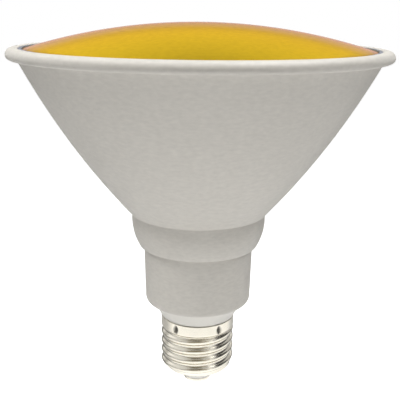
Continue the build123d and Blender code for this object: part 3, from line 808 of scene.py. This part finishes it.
class LAMP_OT_stage(bpy.types.Operator):
    """Sets the camera, the pale floor, the even sky and the softboxes"""

    bl_idname = "lamp.stage"
    bl_label = "Studio"

    def execute(self, context):
        scene, studio = context.scene, context.scene.lamp_studio
        scene.view_settings.view_transform = "Standard"
        self.place_camera(scene, studio)
        self.lay_floor(scene, studio)
        self.light(scene, studio)
        self.hang_cloth(scene, studio)
        return {"FINISHED"}

    def place_camera(self, scene, studio):
        """Camera in front of the axis, tilted down and rolled as in the photo."""
        data = bpy.data.cameras.new("Camera")
        data.sensor_width = SENSOR_WIDTH
        data.lens = studio.focal * SENSOR_WIDTH / PHOTO_WIDTH
        data.shift_x = -studio.aside / PHOTO_WIDTH
        camera = bpy.data.objects.new("Camera", data)
        place = Matrix.Translation((0.0, -studio.distance, scene.lamp_body.rim_top + studio.rise))
        tilt = Matrix.Rotation(math.pi / 2.0 - studio.pitch, 4, "X")
        camera.matrix_world = place @ tilt @ Matrix.Rotation(studio.roll, 4, "Z")
        scene.collection.objects.link(camera)
        scene.camera = camera

    def lay_floor(self, scene, studio):
        """Wide floor of dull paper well below the lamp; it takes the shadow and reads as even white.

        Its front also glows in glossy rays only, a painted reflection in the metal that begins behind the
        axis and grows towards the camera.
        """
        half, low = studio.floor_half, -studio.floor_drop
        corners = [(-half, -half, low), (half, -half, low), (half, half, low), (-half, half, low)]
        mesh = bpy.data.meshes.new("Floor")
        mesh.from_pydata(corners, [], [(0, 1, 2, 3)])
        paper = bpy.data.materials.new("White paper")
        paper.use_nodes = True
        tree = paper.node_tree
        tree.nodes.clear()
        ray = add(tree, "ShaderNodeLightPath")
        place = add(tree, "ShaderNodeSeparateXYZ", {0: add(tree, "ShaderNodeTexCoord").outputs["Object"]})
        aside = add(tree, "ShaderNodeMath", {0: place.outputs["X"], 1: 0.0}, operation="MAXIMUM")
        behind = add(
            tree,
            "ShaderNodeMath",
            {0: aside.outputs[0], 1: -studio.shine_slant, 2: place.outputs["Y"]},
            operation="MULTIPLY_ADD",
        )
        front = add(
            tree,
            "ShaderNodeMapRange",
            {
                "Value": behind.outputs[0], "From Min": studio.shine_back, "From Max": -studio.shine_front,
                "To Max": studio.painted_floor_shine,
            },
        )
        # Painted reflection: the floor's front glows in glossy rays only.
        shine = add(
            tree,
            "ShaderNodeMath",
            {0: ray.outputs["Is Glossy Ray"], 1: front.outputs[0]},
            operation="MULTIPLY",
        )
        glow = add(
            tree,
            "ShaderNodeMath",
            {0: ray.outputs["Is Camera Ray"], 1: studio.paper_glow, 2: shine.outputs[0]},
            operation="MULTIPLY_ADD",
        )
        sheet = add(
            tree,
            "ShaderNodeBsdfPrincipled",
            {
                "Base Color": (*[studio.paper] * 3, 1.0), "Roughness": 0.9, "Specular IOR Level": 0.1,
                "Emission Color": (1.0, 1.0, 1.0, 1.0), "Emission Strength": glow.outputs[0],
            },
        )
        add(tree, "ShaderNodeOutputMaterial", {"Surface": sheet.outputs[0]})
        mesh.materials.append(paper)
        floor = bpy.data.objects.new("Floor", mesh)
        scene.collection.objects.link(floor)

    def light(self, scene, studio):
        """Dim room that reads as white behind the lamp, and the softboxes round it."""
        world = bpy.data.worlds.new("Studio")
        scene.world = world
        world.use_nodes = True
        tree = world.node_tree
        tree.nodes.clear()
        seen = add(tree, "ShaderNodeLightPath").outputs["Is Camera Ray"]
        strength = add(tree, "ShaderNodeMapRange", {"Value": seen, "To Min": studio.sky, "To Max": 1.0})
        white = {"Color": (1.0, 1.0, 1.0, 1.0), "Strength": strength.outputs[0]}
        back = add(tree, "ShaderNodeBackground", white)
        add(tree, "ShaderNodeOutputWorld", {"Surface": back.outputs[0]})
        for name, (place, extent, height, setting, share, part) in SOFTBOXES.items():
            aim = Vector((0.0, 0.0, height * scene.lamp_body.rim_top))
            softbox(name, place, extent, aim, share * getattr(studio, setting), part)

    def hang_cloth(self, scene, studio):
        """Dull brown cloth behind the camera; it keeps light off the front, and glows in glossy rays only, a
        painted reflection in the metal.
        """
        x, y = studio.cloth_width / 2.0, -studio.distance - studio.cloth_gap
        top = scene.lamp_body.rim_top + studio.rise + studio.cloth_above
        low = top - studio.cloth_height
        mesh = bpy.data.meshes.new("Holder")
        mesh.from_pydata([(-x, y, low), (x, y, low), (x, y, top), (-x, y, top)], [], [(0, 3, 2, 1)])
        cloth = bpy.data.materials.new("Dark cloth")
        cloth.use_nodes = True
        tree = cloth.node_tree
        tree.nodes.clear()
        ray = add(tree, "ShaderNodeLightPath")
        cover = add(
            tree,
            "ShaderNodeBsdfPrincipled",
            {
                "Base Color": (*studio.cloth, 1.0), "Roughness": 0.9, "Specular IOR Level": 0.0,
                # Painted reflection: the cloth glows in glossy rays only.
                "Emission Color": (*studio.painted_cloth_shine, 1.0),
                "Emission Strength": ray.outputs["Is Glossy Ray"],
            },
        )
        add(tree, "ShaderNodeOutputMaterial", {"Surface": cover.outputs[0]})
        mesh.materials.append(cloth)
        holder = bpy.data.objects.new("Holder", mesh)
        holder.visible_camera = False
        scene.collection.objects.link(holder)


class LAMP_PT_panel(bpy.types.Panel):
    """Lists the lamp's pieces and its studio"""

    bl_idname = "LAMP_PT_panel"
    bl_label = "Amber reflector lamp"
    bl_space_type = "VIEW_3D"
    bl_region_type = "UI"
    bl_category = "Lamp"

    def draw(self, context):
        for operator in OPERATORS:
            self.layout.operator(operator.bl_idname)
        for group in GROUPS:
            settings = getattr(context.scene, group)
            box = self.layout.box()
            for key in settings.bl_rna.properties.keys():
                if key not in ("rna_type", "name"):
                    box.prop(settings, key)


GROUPS = {
    "lamp_body": BodySizes,
    "lamp_lens": LensSizes,
    "lamp_cap": CapSizes,
    "lamp_colours": LampColours,
    "lamp_studio": StudioSettings,
}
OPERATORS = (LAMP_OT_body, LAMP_OT_lens, LAMP_OT_cap, LAMP_OT_inside, LAMP_OT_stage)


def register():
    """Makes the settings, operators and panel known, and hangs the settings on the scene."""
    for cls in (*GROUPS.values(), *OPERATORS, LAMP_PT_panel):
        bpy.utils.register_class(cls)
    for name, group in GROUPS.items():
        setattr(bpy.types.Scene, name, bpy.props.PointerProperty(type=group))


def unregister():
    """Takes the settings, operators and panel away again."""
    for name in GROUPS:
        delattr(bpy.types.Scene, name)
    for cls in (LAMP_PT_panel, *reversed(OPERATORS), *reversed(GROUPS.values())):
        bpy.utils.unregister_class(cls)


def main():
    """Builds every piece and the studio."""
    register()
    bpy.ops.lamp.body()
    bpy.ops.lamp.lens()
    bpy.ops.lamp.cap()
    bpy.ops.lamp.inside()
    bpy.ops.lamp.stage()


if __name__ == "__main__":
    main()
